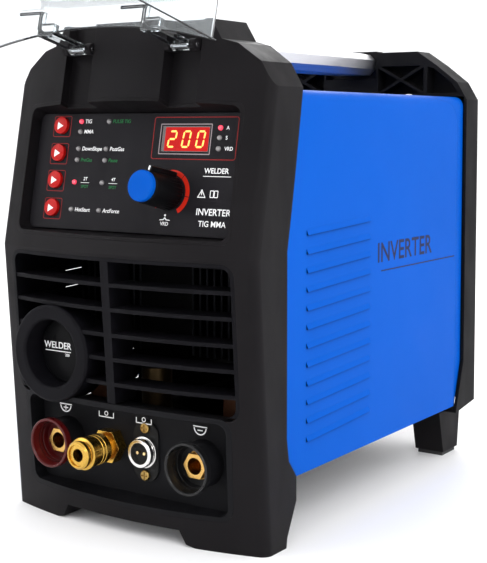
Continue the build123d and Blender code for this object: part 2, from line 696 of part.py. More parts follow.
def socket_cup(x):
    profile = [(18.4, 11.0), (19.6, 11.0), (20.2, 11.6), (20.2, BOSS_Y - 1.2), (19.0, BOSS_Y), (16.2, BOSS_Y),
               (16.2, 52.0), (11.2, 52.0), (11.2, 27.0), (15.4, 27.0), (17.8, 12.0)]
    return revolve_y(x, SOCKET_Z, profile)


def socket_nut(x):
    return hex_y(x, SOCKET_Z, 38.0, 39.6, 45.6) - rod_y(x, SOCKET_Z, 16.3, 39, 46)


def socket_contact(x):
    body = hex_y(x, SOCKET_Z, 18.6, 23.0, 27.0)
    body += rod_y(x, SOCKET_Z, 11.1, 27.4, 60.0) + rod_y(x, SOCKET_Z, 9.0, 26.0, 28.0)
    body = body - rod_y(x, SOCKET_Z, 6.5, 20.0, 55.0)
    return body + rod_y(x, SOCKET_Z, 4.9, 60.0, 74.0)


def gas_coupler_body():
    body = hex_y(GAS_X, GAS_Z, 25.0, 26.0, SOCKET_FLOOR_Y)
    body += rod_y(GAS_X, GAS_Z, 8.2, SOCKET_FLOOR_Y - 1, 56.0)
    body += rod_y(GAS_X, GAS_Z, 8.6, -6.6, 26.5)
    return body - rod_y(GAS_X, GAS_Z, 5.2, -8, 40) - rod_y(GAS_X, GAS_Z, 3.0, 39, 60)


def gas_coupler_sleeve():
    profile = [(8.6 + RUN, -8.0), (9.8, -8.0), (11.2, -6.6), (11.2, -3.4), (10.3, -2.7), (10.3, -1.7),
               (12.9, -0.8), (12.9, 1.6), (12.2, 2.2), (12.2, 9.4), (11.8, 9.8), (11.8, 10.6), (12.2, 11.0),
               (12.2, 13.0), (11.8, 13.4), (11.8, 14.2), (12.2, 14.6), (12.2, 20.0), (11.4, 20.9),
               (8.6 + RUN, 20.9)]
    return revolve_y(GAS_X, GAS_Z, profile)


def gas_coupler_nut():
    return hex_y(GAS_X, GAS_Z, 24.0, 39.6, 45.0) - rod_y(GAS_X, GAS_Z, 8.3, 39, 46)


def control_socket_shell():
    """Plated collar standing on the insert's flange."""
    profile = [(8.7, 25.5), (11.0, 25.5), (11.6, 26.1), (11.6, 29.4), (11.0, 30.0), (11.0, 30.8), (12.6, 31.2),
               (12.6, 33.8), (12.1, 34.3), (8.7, 34.3)]
    return revolve_y(CONTROL_X, CONTROL_Z, profile)


def control_socket_insert():
    """Insulator with an oval flange that the screws hold."""
    body = plate_y(CONTROL_X, CONTROL_Z, 25, 49, 12, 34.4, SOCKET_FLOOR_Y - 0.05)
    body += rod_y(CONTROL_X, CONTROL_Z, 8.65, 31.0, 35.0) + rod_y(CONTROL_X, CONTROL_Z, 9.7, 35.0, 52.0)
    for dx in (-3.4, 3.4):
        body -= rod_y(CONTROL_X + dx, CONTROL_Z, 1.3, 30, 53)
    for dz in (-CONTROL_SCREW, CONTROL_SCREW):
        body -= rod_y(CONTROL_X, CONTROL_Z + dz, 1.6, 30, 40)
    return body - block(CONTROL_X - 1.2, CONTROL_X + 1.2, 30, 34, CONTROL_Z + 6.8, CONTROL_Z + 9)


def control_socket_pins():
    return [rod_y(CONTROL_X + dx, CONTROL_Z, 1.28, 27.6, 55.0) for dx in (-3.4, 3.4)]


def control_socket_screws():
    screws = []
    for dz in (-CONTROL_SCREW, CONTROL_SCREW):
        head = rod_y(CONTROL_X, CONTROL_Z + dz, 4.4, 32.0, 34.35)
        head = fillet(head.edges().filter_by(GeomType.CIRCLE).group_by(Axis.Y)[0], 1.2)
        head += rod_y(CONTROL_X, CONTROL_Z + dz, 1.5, 34, 44)
        head -= block(CONTROL_X - 3, CONTROL_X + 3, 31, 33.0, CONTROL_Z + dz - 0.5, CONTROL_Z + dz + 0.5)
        screws.append(head - block(CONTROL_X - 0.5, CONTROL_X + 0.5, 31, 33.0, CONTROL_Z + dz - 3, CONTROL_Z + dz + 3))
    return screws


# ---------------------------------------------------------------- inside

def base_tray():
    tray = block(-121, 121, 62, 386, 49.0, 50.5)
    for wall in both_sides(block(108.5, 110, 92, 338, 49.5, 74)):
        tray += wall
    return tray - rod_z(0, 200, 20, 45, 55)


def heatsink(x0, x1):
    """Finned extrusion with its fins along the air stream."""
    body = block(x0, x1, 96, 226, 206, 214)
    count = int((x1 - x0) // 7)
    pitch = (x1 - x0 - 2.0) / count
    for step in range(count + 1):
        x = x0 + step * pitch
        body += block(x, x + 2.0, 96, 226, 132, 207)
    return body


def power_modules(x0, x1):
    pitch = (x1 - x0) / 3
    return [block(x0 + pitch * i + 4, x0 + pitch * i + 22, 120, 200, 214.0, 219.0) for i in range(3)]


def main_pcb():
    board = block(-112, 112, 92, 330, 222.0, 223.6)
    return board - block(-40, 40, 240, 300, 220, 226)


def capacitors():
    cans = []
    for x in (-84, -50, 50, 84):
        can = rod_z(x, 150, 15.0, 223.7, 268)
        cans.append(fillet(can.edges().filter_by(GeomType.CIRCLE).group_by(Axis.Z)[-1], 1.5))
    return cans


def transformer_core():
    core = block(-38, 38, 236, 304, 52, 118)
    core -= block(-24, -9, 230, 310, 66, 104)
    return core - block(9, 24, 230, 310, 66, 104)


def transformer_winding():
    coil = block(-23.4, 23.4, 222, 318, 66.6, 103.4)
    coil = fillet(coil.edges().filter_by(Axis.X), 6)
    return coil - block(-9.6, 9.6, 234, 306, 60, 110)


def output_choke():
    ring = Pos(84, 270, 84) * Rot(0, 90, 0) * Torus(21, 10)
    return ring


def solenoid_valve():
    body = block(-36, -8, 76, 112, 52, 78)
    body += rod_z(-22, 94, 13, 77, 120)
    return body - rod_y(-22, 65, 3.2, 70, 118)


def front_gas_hose():
    return tube_y(GAS_X, GAS_Z, 5.0, 3.1, 56.1, 75.9)


def rear_gas_hose():
    low, x, y = GAS_Z - 4, -94, 364
    path = FilletPolyline((GAS_X, 112.2, GAS_Z), (GAS_X, 146, GAS_Z), (x, 200, low), (x, y, low), (x, y, 240),
                          (INLET_X, y, INLET_Z), (INLET_X, 402.5, INLET_Z), radius=12)
    return sweep(Plane(origin=(GAS_X, 112.2, GAS_Z), z_dir=(0, 1, 0)) * Circle(4.6), path=path)


def busbar(x, z1):
    lower = block(x - 9, x + 9, 74.1, 77.1, SOCKET_Z - 9, z1)
    return lower + block(x - 9, x + 9, 74.1, 96, z1 - 3, z1)


def fan_frame():
    """Square frame with a bore, a motor seat and four spokes."""
    frame = plate_y(0, FAN_Z, 2 * FAN_HALF, 2 * FAN_HALF, 6, FAN_Y0, FAN_Y1)
    frame -= rod_y(0, FAN_Z, 57.5, FAN_Y0 - 1, FAN_Y1 + 1)
    for x in (-52.5, 52.5):
        for z in (FAN_Z - 52.5, FAN_Z + 52.5):
            frame -= rod_y(x, z, 2.2, FAN_Y0 - 1, FAN_Y1 + 1)
    seat = rod_y(0, FAN_Z, 21, FAN_Y1 - 4, FAN_Y1) + rod_y(0, FAN_Z, 2.0, FAN_Y0 + 4, FAN_Y1 - 3)
    parts = [frame, seat]
    for angle in (45, 135, 225, 315):
        spoke = Pos((21.1 + 57.4) / 2, 0, 0) * Box(57.4 - 21.1, 3, 5)
        parts.append(Pos(0, FAN_Y1 - 1.5, FAN_Z) * Rot(0, angle, 0) * spoke)
    return parts


def fan_rotor():
    hub = rod_y(0, FAN_Z, 20, FAN_Y0 + 1.5, FAN_Y1 - 5)
    for step in range(7):
        blade = Pos(35, 0, 0) * Rot(34, 0, 0) * Box(38, 2.0, 21)
        hub += Pos(0, (FAN_Y0 + FAN_Y1 - 3.5) / 2, FAN_Z) * Rot(0, step * 360 / 7, 0) * blade
    hub = hub & rod_y(0, FAN_Z, 55, FAN_Y0 + 1.5, FAN_Y1 - 5)
    return hub - rod_y(0, FAN_Z, 2.0 + RUN, FAN_Y0 + 3, FAN_Y1)


def fan_guard():
    """Guard outside the rear wall: upright wires on two crossbars, with four lugs."""
    wires = []
    for x in (-51, -34, -17, 0, 17, 34, 51):
        half = math.sqrt(58.0 ** 2 - x ** 2)
        wires.append(block(x - 1, x + 1, REAR_Y + 3.4, REAR_Y + 5.2, FAN_Z - half, FAN_Z + half))
    for z in (FAN_Z - 22, FAN_Z + 22):
        wires.append(block(-57.5, 57.5, REAR_Y + 1.4, REAR_Y + 3.38, z - 1, z + 1))
    for x in (-52.5, 52.5):
        for z in (FAN_Z - 52.5, FAN_Z + 52.5):
            lug = rod_y(x, z, 5.0, REAR_Y + 0.1, REAR_Y + 3.2)
            wires.append(lug - rod_y(x, z, 2.2, REAR_Y - 1, REAR_Y + 4))
    wires += both_sides(block(57.52, 59.5, REAR_Y + 1.4, REAR_Y + 3.2, FAN_Z - 54, FAN_Z + 54))
    return wires


def fan_screws():
    screws = []
    for x in (-52.5, 52.5):
        for z in (FAN_Z - 52.5, FAN_Z + 52.5):
            head = rod_y(x, z, 4.0, REAR_Y + 3.3, REAR_Y + 5.9)
            screws.append(head + rod_y(x, z, 2.0, FAN_Y0 - 2, REAR_Y + 3.5))
    return screws


def switch_body():
    body = plate_y(SWITCH_X, SWITCH_Z, 25, 33, 3, REAR_Y + 0.05, REAR_Y + 2.0)
    body += block(SWITCH_X - 10.8, SWITCH_X + 10.8, 392, REAR_Y + 1, SWITCH_Z - 14.2, SWITCH_Z + 14.2)
    body -= block(SWITCH_X - 9.4, SWITCH_X + 9.4, 404, REAR_Y + 5, SWITCH_Z - 12.8, SWITCH_Z + 12.8)
    return body - rod_x(REAR_Y - 3, SWITCH_Z, 1.5 + RUN, SWITCH_X - 10.2, SWITCH_X + 10.2)


def switch_rocker():
    """Rocker resting with its upper end pressed in."""
    side = [(REAR_Y - 7, SWITCH_Z - 6), (REAR_Y + 1.2, SWITCH_Z - 11.6), (REAR_Y - 0.2, SWITCH_Z),
            (REAR_Y + 1.2, SWITCH_Z + 11.6), (REAR_Y - 7, SWITCH_Z + 6)]
    rocker = prism_x(side, SWITCH_X - 9, SWITCH_X + 9)
    rocker += rod_x(REAR_Y - 3, SWITCH_Z, 1.5, SWITCH_X - 10.1, SWITCH_X + 10.1)
    return Pos(0, REAR_Y - 3, SWITCH_Z) * Rot(10, 0, 0) * Pos(0, 3 - REAR_Y, -SWITCH_Z) * rocker


def cable_gland_body():
    body = rod_y(0, GLAND_Z, 10.0, 404.0, REAR_Y + 1) + hex_y(0, GLAND_Z, 24.0, REAR_Y + 0.05, REAR_Y + 5)
    body += rod_y(0, GLAND_Z, 9.0, REAR_Y + 4, REAR_Y + 12)
    return body - rod_y(0, GLAND_Z, 6.5, 400, 450)


def cable_gland_cap():
    cap = hex_y(0, GLAND_Z, 23.0, REAR_Y + 5.4, REAR_Y + 14) + rod_y(0, GLAND_Z, 10.2, REAR_Y + 14, REAR_Y + 20)
    cap = cap - rod_y(0, GLAND_Z, 6.5, 400, 450)
    return cap - rod_y(0, GLAND_Z, 9.05, REAR_Y + 5, REAR_Y + 12.3)


def cable_gland_nut():
    return hex_y(0, GLAND_Z, 25.0, 407.0, REAR_Y - WALL - 0.05) - rod_y(0, GLAND_Z, 10.05, 400, 420)


def gas_inlet():
    profile = [(2.6, 403.0), (4.6, 403.0), (6.4, 406.0), (6.4, REAR_Y + 0.05), (2.6, REAR_Y + 0.05)]
    body = revolve_y(INLET_X, INLET_Z, profile) + hex_y(INLET_X, INLET_Z, 17.0, REAR_Y + 0.05, REAR_Y + 6)
    body += rod_y(INLET_X, INLET_Z, 4.5, REAR_Y + 5, REAR_Y + 20)
    return body - rod_y(INLET_X, INLET_Z, 2.6, 400, 450)


def earth_stud():
    stud = rod_y(EARTH_X, EARTH_Z, 3.0, 404, REAR_Y + 16)
    return stud + hex_y(EARTH_X, EARTH_Z, 10.0, REAR_Y + 0.05, REAR_Y + 4)


def rating_plate():
    return plate_y(0, 235, 74, 40, 3, REAR_Y + 0.02, REAR_Y + 0.7)


def air_baffle():
    sheet = block(-111, 111, 340, 341.5, 50.9, 340)
    return sheet - rod_y(0, FAN_Z, 58, 330, 350) - rod_y(-94, GAS_Z - 4, 8, 330, 350)


# ---------------------------------------------------------------- all nodes

def build():
    os.makedirs("parts", exist_ok=True)
    save("front_bezel", front_bezel())
    save("panel_surround", *panel_surround())
    save("front_grille", *front_grille())
    save("socket_tray", *socket_tray())
    save("badge_disc", badge_disc())
    save("panel_cover", panel_cover())
    save("cover_hinge_pins", *cover_pins())
    save("control_plate", control_plate())
    save("display_window", display_window())
    save("display_module", display_module())
    save("led_lenses_lit", *led_lenses(LEDS_LIT))
    save("led_lenses_off", *led_lenses(LEDS_OFF))
    for number, z in enumerate(BUTTON_Z, start=1):
        save(f"button_{number}", push_button(z))
    save("knob_body", knob_body())
    save("knob_cap", knob_cap())
    save("encoder_shaft", encoder_shaft())
    save("control_pcb", control_pcb(), encoder_body(), *tact_switches())
    save("cover_shell", cover_shell())
    save("case_screws", *cover_screws(), *fan_screws())
    save("rear_bezel", rear_bezel())
    save("rear_panel", *rear_panel())
    save("rear_feet", *rear_feet())
    save("rear_foot_pads", *rear_foot_pads())
    save("handle_bar", handle_bar())
    save("handle_collars", handle_collar(74, 86), handle_collar(396, 408))
    for name, side in (("positive", -1), ("negative", 1)):
        save(f"socket_{name}_cup", socket_cup(side * SOCKET_X))
        save(f"socket_{name}_contact", socket_contact(side * SOCKET_X))
    save("mounting_nuts", socket_nut(-SOCKET_X), socket_nut(SOCKET_X), gas_coupler_nut(), cable_gland_nut())
    save("gas_coupler_body", gas_coupler_body())
    save("gas_coupler_sleeve", gas_coupler_sleeve())
    save("control_socket_shell", control_socket_shell())
    save("control_socket_insert", control_socket_insert())
    save("control_socket_pins", *control_socket_pins())
    save("control_socket_screws", *control_socket_screws())
    save("base_tray", base_tray(), air_baffle())
    save("heatsinks", heatsink(-108, -40), heatsink(14, 110))
    save("power_modules", *power_modules(-108, -36), *power_modules(20, 110))
    save("main_pcb", main_pcb())
    save("capacitors", *capacitors())
    save("transformer_core", transformer_core())
    save("transformer_winding", transformer_winding())
    save("output_choke", output_choke())
    save("solenoid_valve", solenoid_valve())
    save("gas_hoses", front_gas_hose(), rear_gas_hose())
    save("busbars", busbar(-SOCKET_X, 112), busbar(SOCKET_X, 112))
    save("fan_frame", *fan_frame())
    save("fan_rotor", fan_rotor())
    save("fan_guard", *fan_guard())
    save("mains_switch_body", switch_body())
    save("mains_switch_rocker", switch_rocker())
    save("cable_gland", cable_gland_body())
    save("cable_gland_cap", cable_gland_cap())
    save("gas_inlet", gas_inlet())
    save("earth_stud", earth_stud())
    save("rating_plate", rating_plate())


build()
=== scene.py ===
import bmesh
import bpy
import json
import math
from mathutils import Matrix, Vector


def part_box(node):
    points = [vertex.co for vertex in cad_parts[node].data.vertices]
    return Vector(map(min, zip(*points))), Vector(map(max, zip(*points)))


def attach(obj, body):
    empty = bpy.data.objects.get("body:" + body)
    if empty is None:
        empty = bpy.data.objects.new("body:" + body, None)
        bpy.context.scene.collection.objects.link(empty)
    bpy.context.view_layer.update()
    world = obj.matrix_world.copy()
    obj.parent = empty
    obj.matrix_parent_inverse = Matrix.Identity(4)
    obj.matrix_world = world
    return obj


# Looks of the welding machine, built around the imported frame. Metres; lengths written in millimetres use MM.
MM = 0.001

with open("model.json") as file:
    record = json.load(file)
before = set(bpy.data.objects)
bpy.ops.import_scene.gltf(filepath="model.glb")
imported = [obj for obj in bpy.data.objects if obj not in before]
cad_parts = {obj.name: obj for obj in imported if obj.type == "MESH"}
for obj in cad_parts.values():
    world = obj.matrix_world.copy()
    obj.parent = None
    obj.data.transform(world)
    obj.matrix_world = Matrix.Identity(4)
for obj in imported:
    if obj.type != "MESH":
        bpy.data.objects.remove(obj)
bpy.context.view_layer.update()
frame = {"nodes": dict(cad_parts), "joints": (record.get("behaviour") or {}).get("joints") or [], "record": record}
nodes = frame["nodes"]
joints = {joint["name"]: joint for joint in frame["joints"]}


# ---------------------------------------------------------------- places taken from the frame

FRONT_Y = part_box("front_bezel")[0].y                       # foremost line of the bowed front
INSERT_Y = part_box("control_socket_insert")[0].y            # front of the insert, whose flange is on the floor
KNOB_POS = Vector(joints["knob_turn"]["pos_m"])
PANEL_OUT = Vector(joints["knob_turn"]["axis"]).normalized()
PANEL_UP = PANEL_OUT.cross(Vector((1, 0, 0)))


def basis(origin, right, up):
    """Matrix that lays a drawing's x and y along right and up, its thickness along their normal."""
    out = right.cross(up)
    rows = [[right[i], up[i], out[i], origin[i]] for i in range(3)]
    return Matrix(rows + [[0, 0, 0, 1]])


def on_panel(x, z, lift=0.0):
    """Place on the control plate: x from the middle, z above the floor, lift above the plate, in mm."""
    origin = KNOB_POS + Vector((1, 0, 0)) * (x * MM - KNOB_POS.x)
    origin += PANEL_UP * ((z * MM - KNOB_POS.z) / PANEL_UP.z) + PANEL_OUT * lift * MM
    return basis(origin, Vector((1, 0, 0)), PANEL_UP)


def facing_front(x, y, z):
    """Upright place facing the front; y is the row's own, in metres, x and z in mm."""
    return basis(Vector((x * MM, y, z * MM)), Vector((1, 0, 0)), Vector((0, 0, 1)))


def facing_back(x, y, z):
    """Upright place facing the back, as facing_front."""
    return basis(Vector((x * MM, y, z * MM)), Vector((-1, 0, 0)), Vector((0, 0, 1)))


# ---------------------------------------------------------------- shader building

CASE_MIDDLE = (0.0, 0.05, 0.2)      # a point inside the sheet-metal case


class Shader:
    """One material's node tree, with short calls for the nodes used here."""

    def __init__(self, name, colour, rough, metal=0.0, shine=0.5):
        self.material = bpy.data.materials.new(name)
        self.material.use_nodes = True
        self.tree = self.material.node_tree
        self.surface = self.tree.nodes["Principled BSDF"]
        self.put("Base Color", (*colour, 1.0))
        self.put("Roughness", rough)
        self.put("Metallic", metal)
        self.put("Specular IOR Level", shine)
        self.coords = self.add("ShaderNodeTexCoord").outputs["Object"]

    def add(self, kind, inputs=(), **settings):
        node = self.tree.nodes.new(kind)
        for key, value in settings.items():
            setattr(node, key, value)
        for key, value in dict(inputs).items():
            self.feed(node.inputs[key], value)
        return node

    def feed(self, socket, value):
        if isinstance(value, bpy.types.NodeSocket):
            self.tree.links.new(value, socket)
        else:
            socket.default_value = value

    def put(self, name, value):
        self.feed(self.surface.inputs[name], value)

    def place(self, stretch):
        """Object coordinates, scaled per axis."""
        return self.add("ShaderNodeMapping", {"Vector": self.coords, "Scale": stretch}).outputs["Vector"]

    def noise(self, scale, detail=3.0, rough=0.55, stretch=None):
        where = self.place(stretch) if stretch else self.coords
        inputs = {"Vector": where, "Scale": scale, "Detail": detail, "Roughness": rough}
        return self.add("ShaderNodeTexNoise", inputs).outputs["Fac"]

    def span(self, value, low, high, to_low, to_high):
        made = self.add("ShaderNodeMapRange", {"Value": value, "From Min": low, "From Max": high,
                                               "To Min": to_low, "To Max": to_high})
        return made.outputs["Result"]

    def blend(self, factor, first, second):
        made = self.add("ShaderNodeMix", data_type="RGBA")
        self.feed(made.inputs["Factor"], factor)
        self.feed(made.inputs["A"], first if isinstance(first, bpy.types.NodeSocket) else (*first, 1.0))
        self.feed(made.inputs["B"], second if isinstance(second, bpy.types.NodeSocket) else (*second, 1.0))
        return made.outputs["Result"]

    def maths(self, operation, first, second):
        made = self.add("ShaderNodeMath", operation=operation)
        self.feed(made.inputs[0], first)
        self.feed(made.inputs[1], second)
        return made.outputs["Value"]

    def vectors(self, operation, first, second, result):
        """Vector maths; result names the output, Vector or Value."""
        made = self.add("ShaderNodeVectorMath", {0: first, 1: second}, operation=operation)
        return made.outputs[result]

    def edge(self, radius):
        """Near 0 on flat ground, rising on edges sharper than radius."""
        soft = self.add("ShaderNodeBevel", {"Radius": radius}, samples=4).outputs["Normal"]
        hard = self.add("ShaderNodeNewGeometry").outputs["Normal"]
        return self.span(self.vectors("DOT_PRODUCT", soft, hard, "Value"), 1.0, 0.72, 0.0, 1.0)

    def relief(self, height, strength, depth, soften=0.0):
        """Bump from a height, on top of edges rounded by soften."""
        inputs = {"Height": height, "Strength": strength, "Distance": depth}
        if soften:
            inputs["Normal"] = self.add("ShaderNodeBevel", {"Radius": soften}, samples=4).outputs["Normal"]
        self.put("Normal", self.add("ShaderNodeBump", inputs).outputs["Normal"])


def moulded(name, colour, rough=0.5, grain=1500.0, depth=0.05, wear=0.35):
    """Spark-textured moulded plastic: fine grain, soft cloudy gloss and paler rubbed edges."""
    made = Shader(name, colour, rough, shine=0.07)
    clouds = made.noise(9.0, 4.0)
    smudge = made.noise(55.0, 3.0, stretch=(1.0, 1.0, 0.35))
    paler = tuple(min(1.0, c * 2.2 + 0.008) for c in colour)
    tone = made.blend(made.span(clouds, 0.3, 0.7, 0.0, 0.2), colour, paler)
    rubbed = made.maths("MULTIPLY", made.edge(1.6 * MM), made.span(smudge, 0.42, 0.62, 0.0, wear))
    made.put("Base Color", made.blend(rubbed, tone, paler))
    made.put("Roughness", made.span(smudge, 0.3, 0.7, rough - 0.07, rough + 0.08))
    made.relief(made.noise(grain, 2.0), 0.35, depth * MM, soften=0.7 * MM)
    return made


def glossy(name, colour, rough=0.22, coat=0.3, shine=0.3):
    """Smooth plastic with faint swirls and finger marks in its gloss."""
    made = Shader(name, colour, rough, shine=shine)
    marks = made.noise(140.0, 4.0)
    swirl = made.span(made.noise(30.0), 0.35, 0.65, 0.0, 0.12)
    tone = made.blend(swirl, colour, tuple(c * 0.7 for c in colour))
    made.put("Base Color", tone)
    made.put("Roughness", made.span(marks, 0.35, 0.65, rough * 0.8, rough * 1.35))
    made.put("Coat Weight", coat)
    made.put("Coat Roughness", 0.12)
    made.relief(marks, 0.05, 0.05 * MM, soften=0.4 * MM)
    return made


def powder_coat(name, colour):
    """Baked powder paint: orange peel, mottling, paler rubbed edges, painted shade in creases and under the louvre
    lips, and dark primer left on the inside, made near-black as painted shade.
    """
    made = Shader(name, colour, 0.4, shine=0.025)
    peel = made.noise(420.0, 2.0)
    mottle = made.noise(6.0, 3.0)
    deep = tuple(c * 0.86 for c in colour)
    tone = made.blend(made.span(mottle, 0.3, 0.7, 0.0, 0.5), colour, deep)
    rubbed = made.maths("MULTIPLY", made.edge(0.9 * MM), made.span(made.noise(70.0), 0.5, 0.7, 0.0, 0.5))
    painted = made.blend(rubbed, tone, tuple(min(1.0, c * 1.25 + 0.008) for c in colour))
    normal = made.add("ShaderNodeNewGeometry").outputs["True Normal"]
    away = made.vectors("SUBTRACT", made.coords, CASE_MIDDLE, "Vector")
    outward = made.vectors("DOT_PRODUCT", away, normal, "Value")
    # Painted shade: ambient occlusion darkens the paint in creases and under the louvre lips.
    painted_shade_ao = made.add("ShaderNodeAmbientOcclusion", {"Distance": 9.0 * MM}, samples=8).outputs["AO"]
    painted = made.blend(made.span(painted_shade_ao, 0.45, 0.97, 0.85, 0.0), painted, tuple(c * 0.12 for c in colour))
    # Faces turned towards the inside of the case get the dark primer, made near-black as painted shade for the
    # closed case's inside.
    inner = made.span(outward, -0.01, 0.0, 1.0, 0.0)
    made.put("Base Color", made.blend(inner, painted, (0.003, 0.003, 0.005)))
    made.put("Roughness", made.span(made.noise(24.0), 0.3, 0.7, 0.34, 0.46))
    made.relief(peel, 0.12, 0.08 * MM, soften=0.6 * MM)
    return made


def metal(name, colour, rough, stretch=(1.0, 1.0, 1.0), scale=260.0, dull=0.75, groove=0.1, soften=0.35):
    """Machined or drawn metal: fine lines along the long direction of stretch, and a duller tarnish."""
    made = Shader(name, colour, rough, 1.0)
    lines = made.noise(scale, 4.0, 0.6, stretch)
    tarnish = made.noise(38.0, 4.0)
    tone = made.blend(made.span(tarnish, 0.45, 0.72, 0.0, 0.6), colour, tuple(c * dull for c in colour))
    made.put("Base Color", tone)
    made.put("Roughness", made.span(lines, 0.3, 0.7, rough * 0.75, rough * 1.3))
    made.relief(lines, groove, 0.03 * MM, soften=soften * MM)
    return made


def rubber(name):
    """Matt black rubber with a little dust."""
    black = (0.018, 0.018, 0.019)
    made = Shader(name, black, 0.75)
    dust = made.noise(90.0, 5.0)
    dusty = made.span(dust, 0.5, 0.75, 0.0, 0.4)
    made.put("Base Color", made.blend(dusty, black, (0.07, 0.068, 0.064)))
    made.put("Roughness", made.span(dust, 0.3, 0.7, 0.68, 0.86))
    made.relief(made.noise(700.0), 0.3, 0.1 * MM, soften=0.6 * MM)
    return made


def clear_sheet(name):
    """Clear polycarbonate with light scuffs; its cut edges are painted dark and less clear, painted shade for the
    dark look light gives clear edges.
    """
    tint = (0.90, 0.94, 0.955)
    made = Shader(name, tint, 0.03)
    scuffs = made.noise(60.0, 6.0, 0.7, (1.0, 6.0, 1.0))
    # Painted shade: edges sharper than 1.5 mm turn dark and lose transmission.
    rim = made.span(made.edge(1.5 * MM), 0.05, 0.6, 0.0, 1.0)
    made.put("Base Color", made.blend(rim, tint, (0.012, 0.013, 0.016)))
    made.put("Transmission Weight", made.span(rim, 0.0, 1.0, 1.0, 0.25))
    made.put("IOR", 1.45)
    made.put("Roughness", made.span(scuffs, 0.55, 0.8, 0.02, 0.16))
    made.relief(made.noise(18.0), 0.04, 0.4 * MM)
    return made


def lens(name, colour, glow=0.0, glow_colour=(1.0, 0.05, 0.02)):
    """Small moulded lamp lens, lit from inside when glow is above 0."""
    made = Shader(name, colour, 0.25)
    haze = made.noise(900.0, 2.0)
    deeper = tuple(c * 0.6 for c in colour)
    made.put("Base Color", made.blend(made.span(haze, 0.3, 0.7, 0.0, 0.3), colour, deeper))
    made.put("Roughness", made.span(haze, 0.3, 0.7, 0.18, 0.34))
    made.put("Coat Weight", 0.4)
    if glow:
        made.put("Emission Color", (*glow_colour, 1.0))
        made.put("Emission Strength", glow)
    return made


def ink(name, colour, glow=0.0):
    """Screen-printed ink with a slightly uneven film."""
    made = Shader(name, colour, 0.5, shine=0.15)
    film = made.noise(1200.0, 2.0)
    thin = tuple(c * 0.75 for c in colour)
    made.put("Base Color", made.blend(made.span(film, 0.35, 0.7, 0.0, 0.35), colour, thin))
    made.put("Roughness", made.span(film, 0.3, 0.7, 0.42, 0.6))
    made.relief(film, 0.1, 0.02 * MM)
    # Glow is emission: real light for the display's lit parts, painted light on plain print.
    if glow:
        made.put("Emission Color", (*colour, 1.0))
        made.put("Emission Strength", glow)
    return made


def circuit_board(name):
    """Green solder mask over a maze of slightly raised tracks."""
    mask = (0.01, 0.10, 0.045)
    made = Shader(name, mask, 0.35)
    tracks = made.add("ShaderNodeTexBrick", {"Vector": made.coords, "Scale": 90.0, "Mortar Size": 0.03})
    made.put("Base Color", made.blend(tracks.outputs["Fac"], mask, (0.03, 0.20, 0.08)))
    made.put("Roughness", made.span(made.noise(80.0), 0.3, 0.7, 0.28, 0.45))
    made.relief(tracks.outputs["Fac"], 0.2, 0.05 * MM)
    return made


def winding(name):
    """Varnished copper turns, with painted shade in the grooves between them."""
    made = Shader(name, (0.55, 0.22, 0.09), 0.3, 0.85)
    turns = made.add("ShaderNodeTexWave", {"Vector": made.coords, "Scale": 260.0, "Distortion": 0.6},
                     bands_direction="Y")
    height = turns.outputs["Fac"]
    # Painted shade: the colour darkens with the turns' height, deepest in the grooves between turns.
    made.put("Base Color", made.blend(height, (0.20, 0.07, 0.03), (0.62, 0.26, 0.10)))
    made.put("Roughness", made.span(made.noise(60.0), 0.3, 0.7, 0.25, 0.42))
    made.relief(height, 0.6, 0.5 * MM)
    return made


ALONG_Y = (30.0, 1.0, 30.0)        # stretch of lines drawn along Y
ROUND = (1.0, 26.0, 1.0)           # and of turning marks round Y
BLACK = (0.0052, 0.0045, 0.0052)
BRASS = (0.66, 0.40, 0.12)
GOLD = (0.60, 0.36, 0.07)

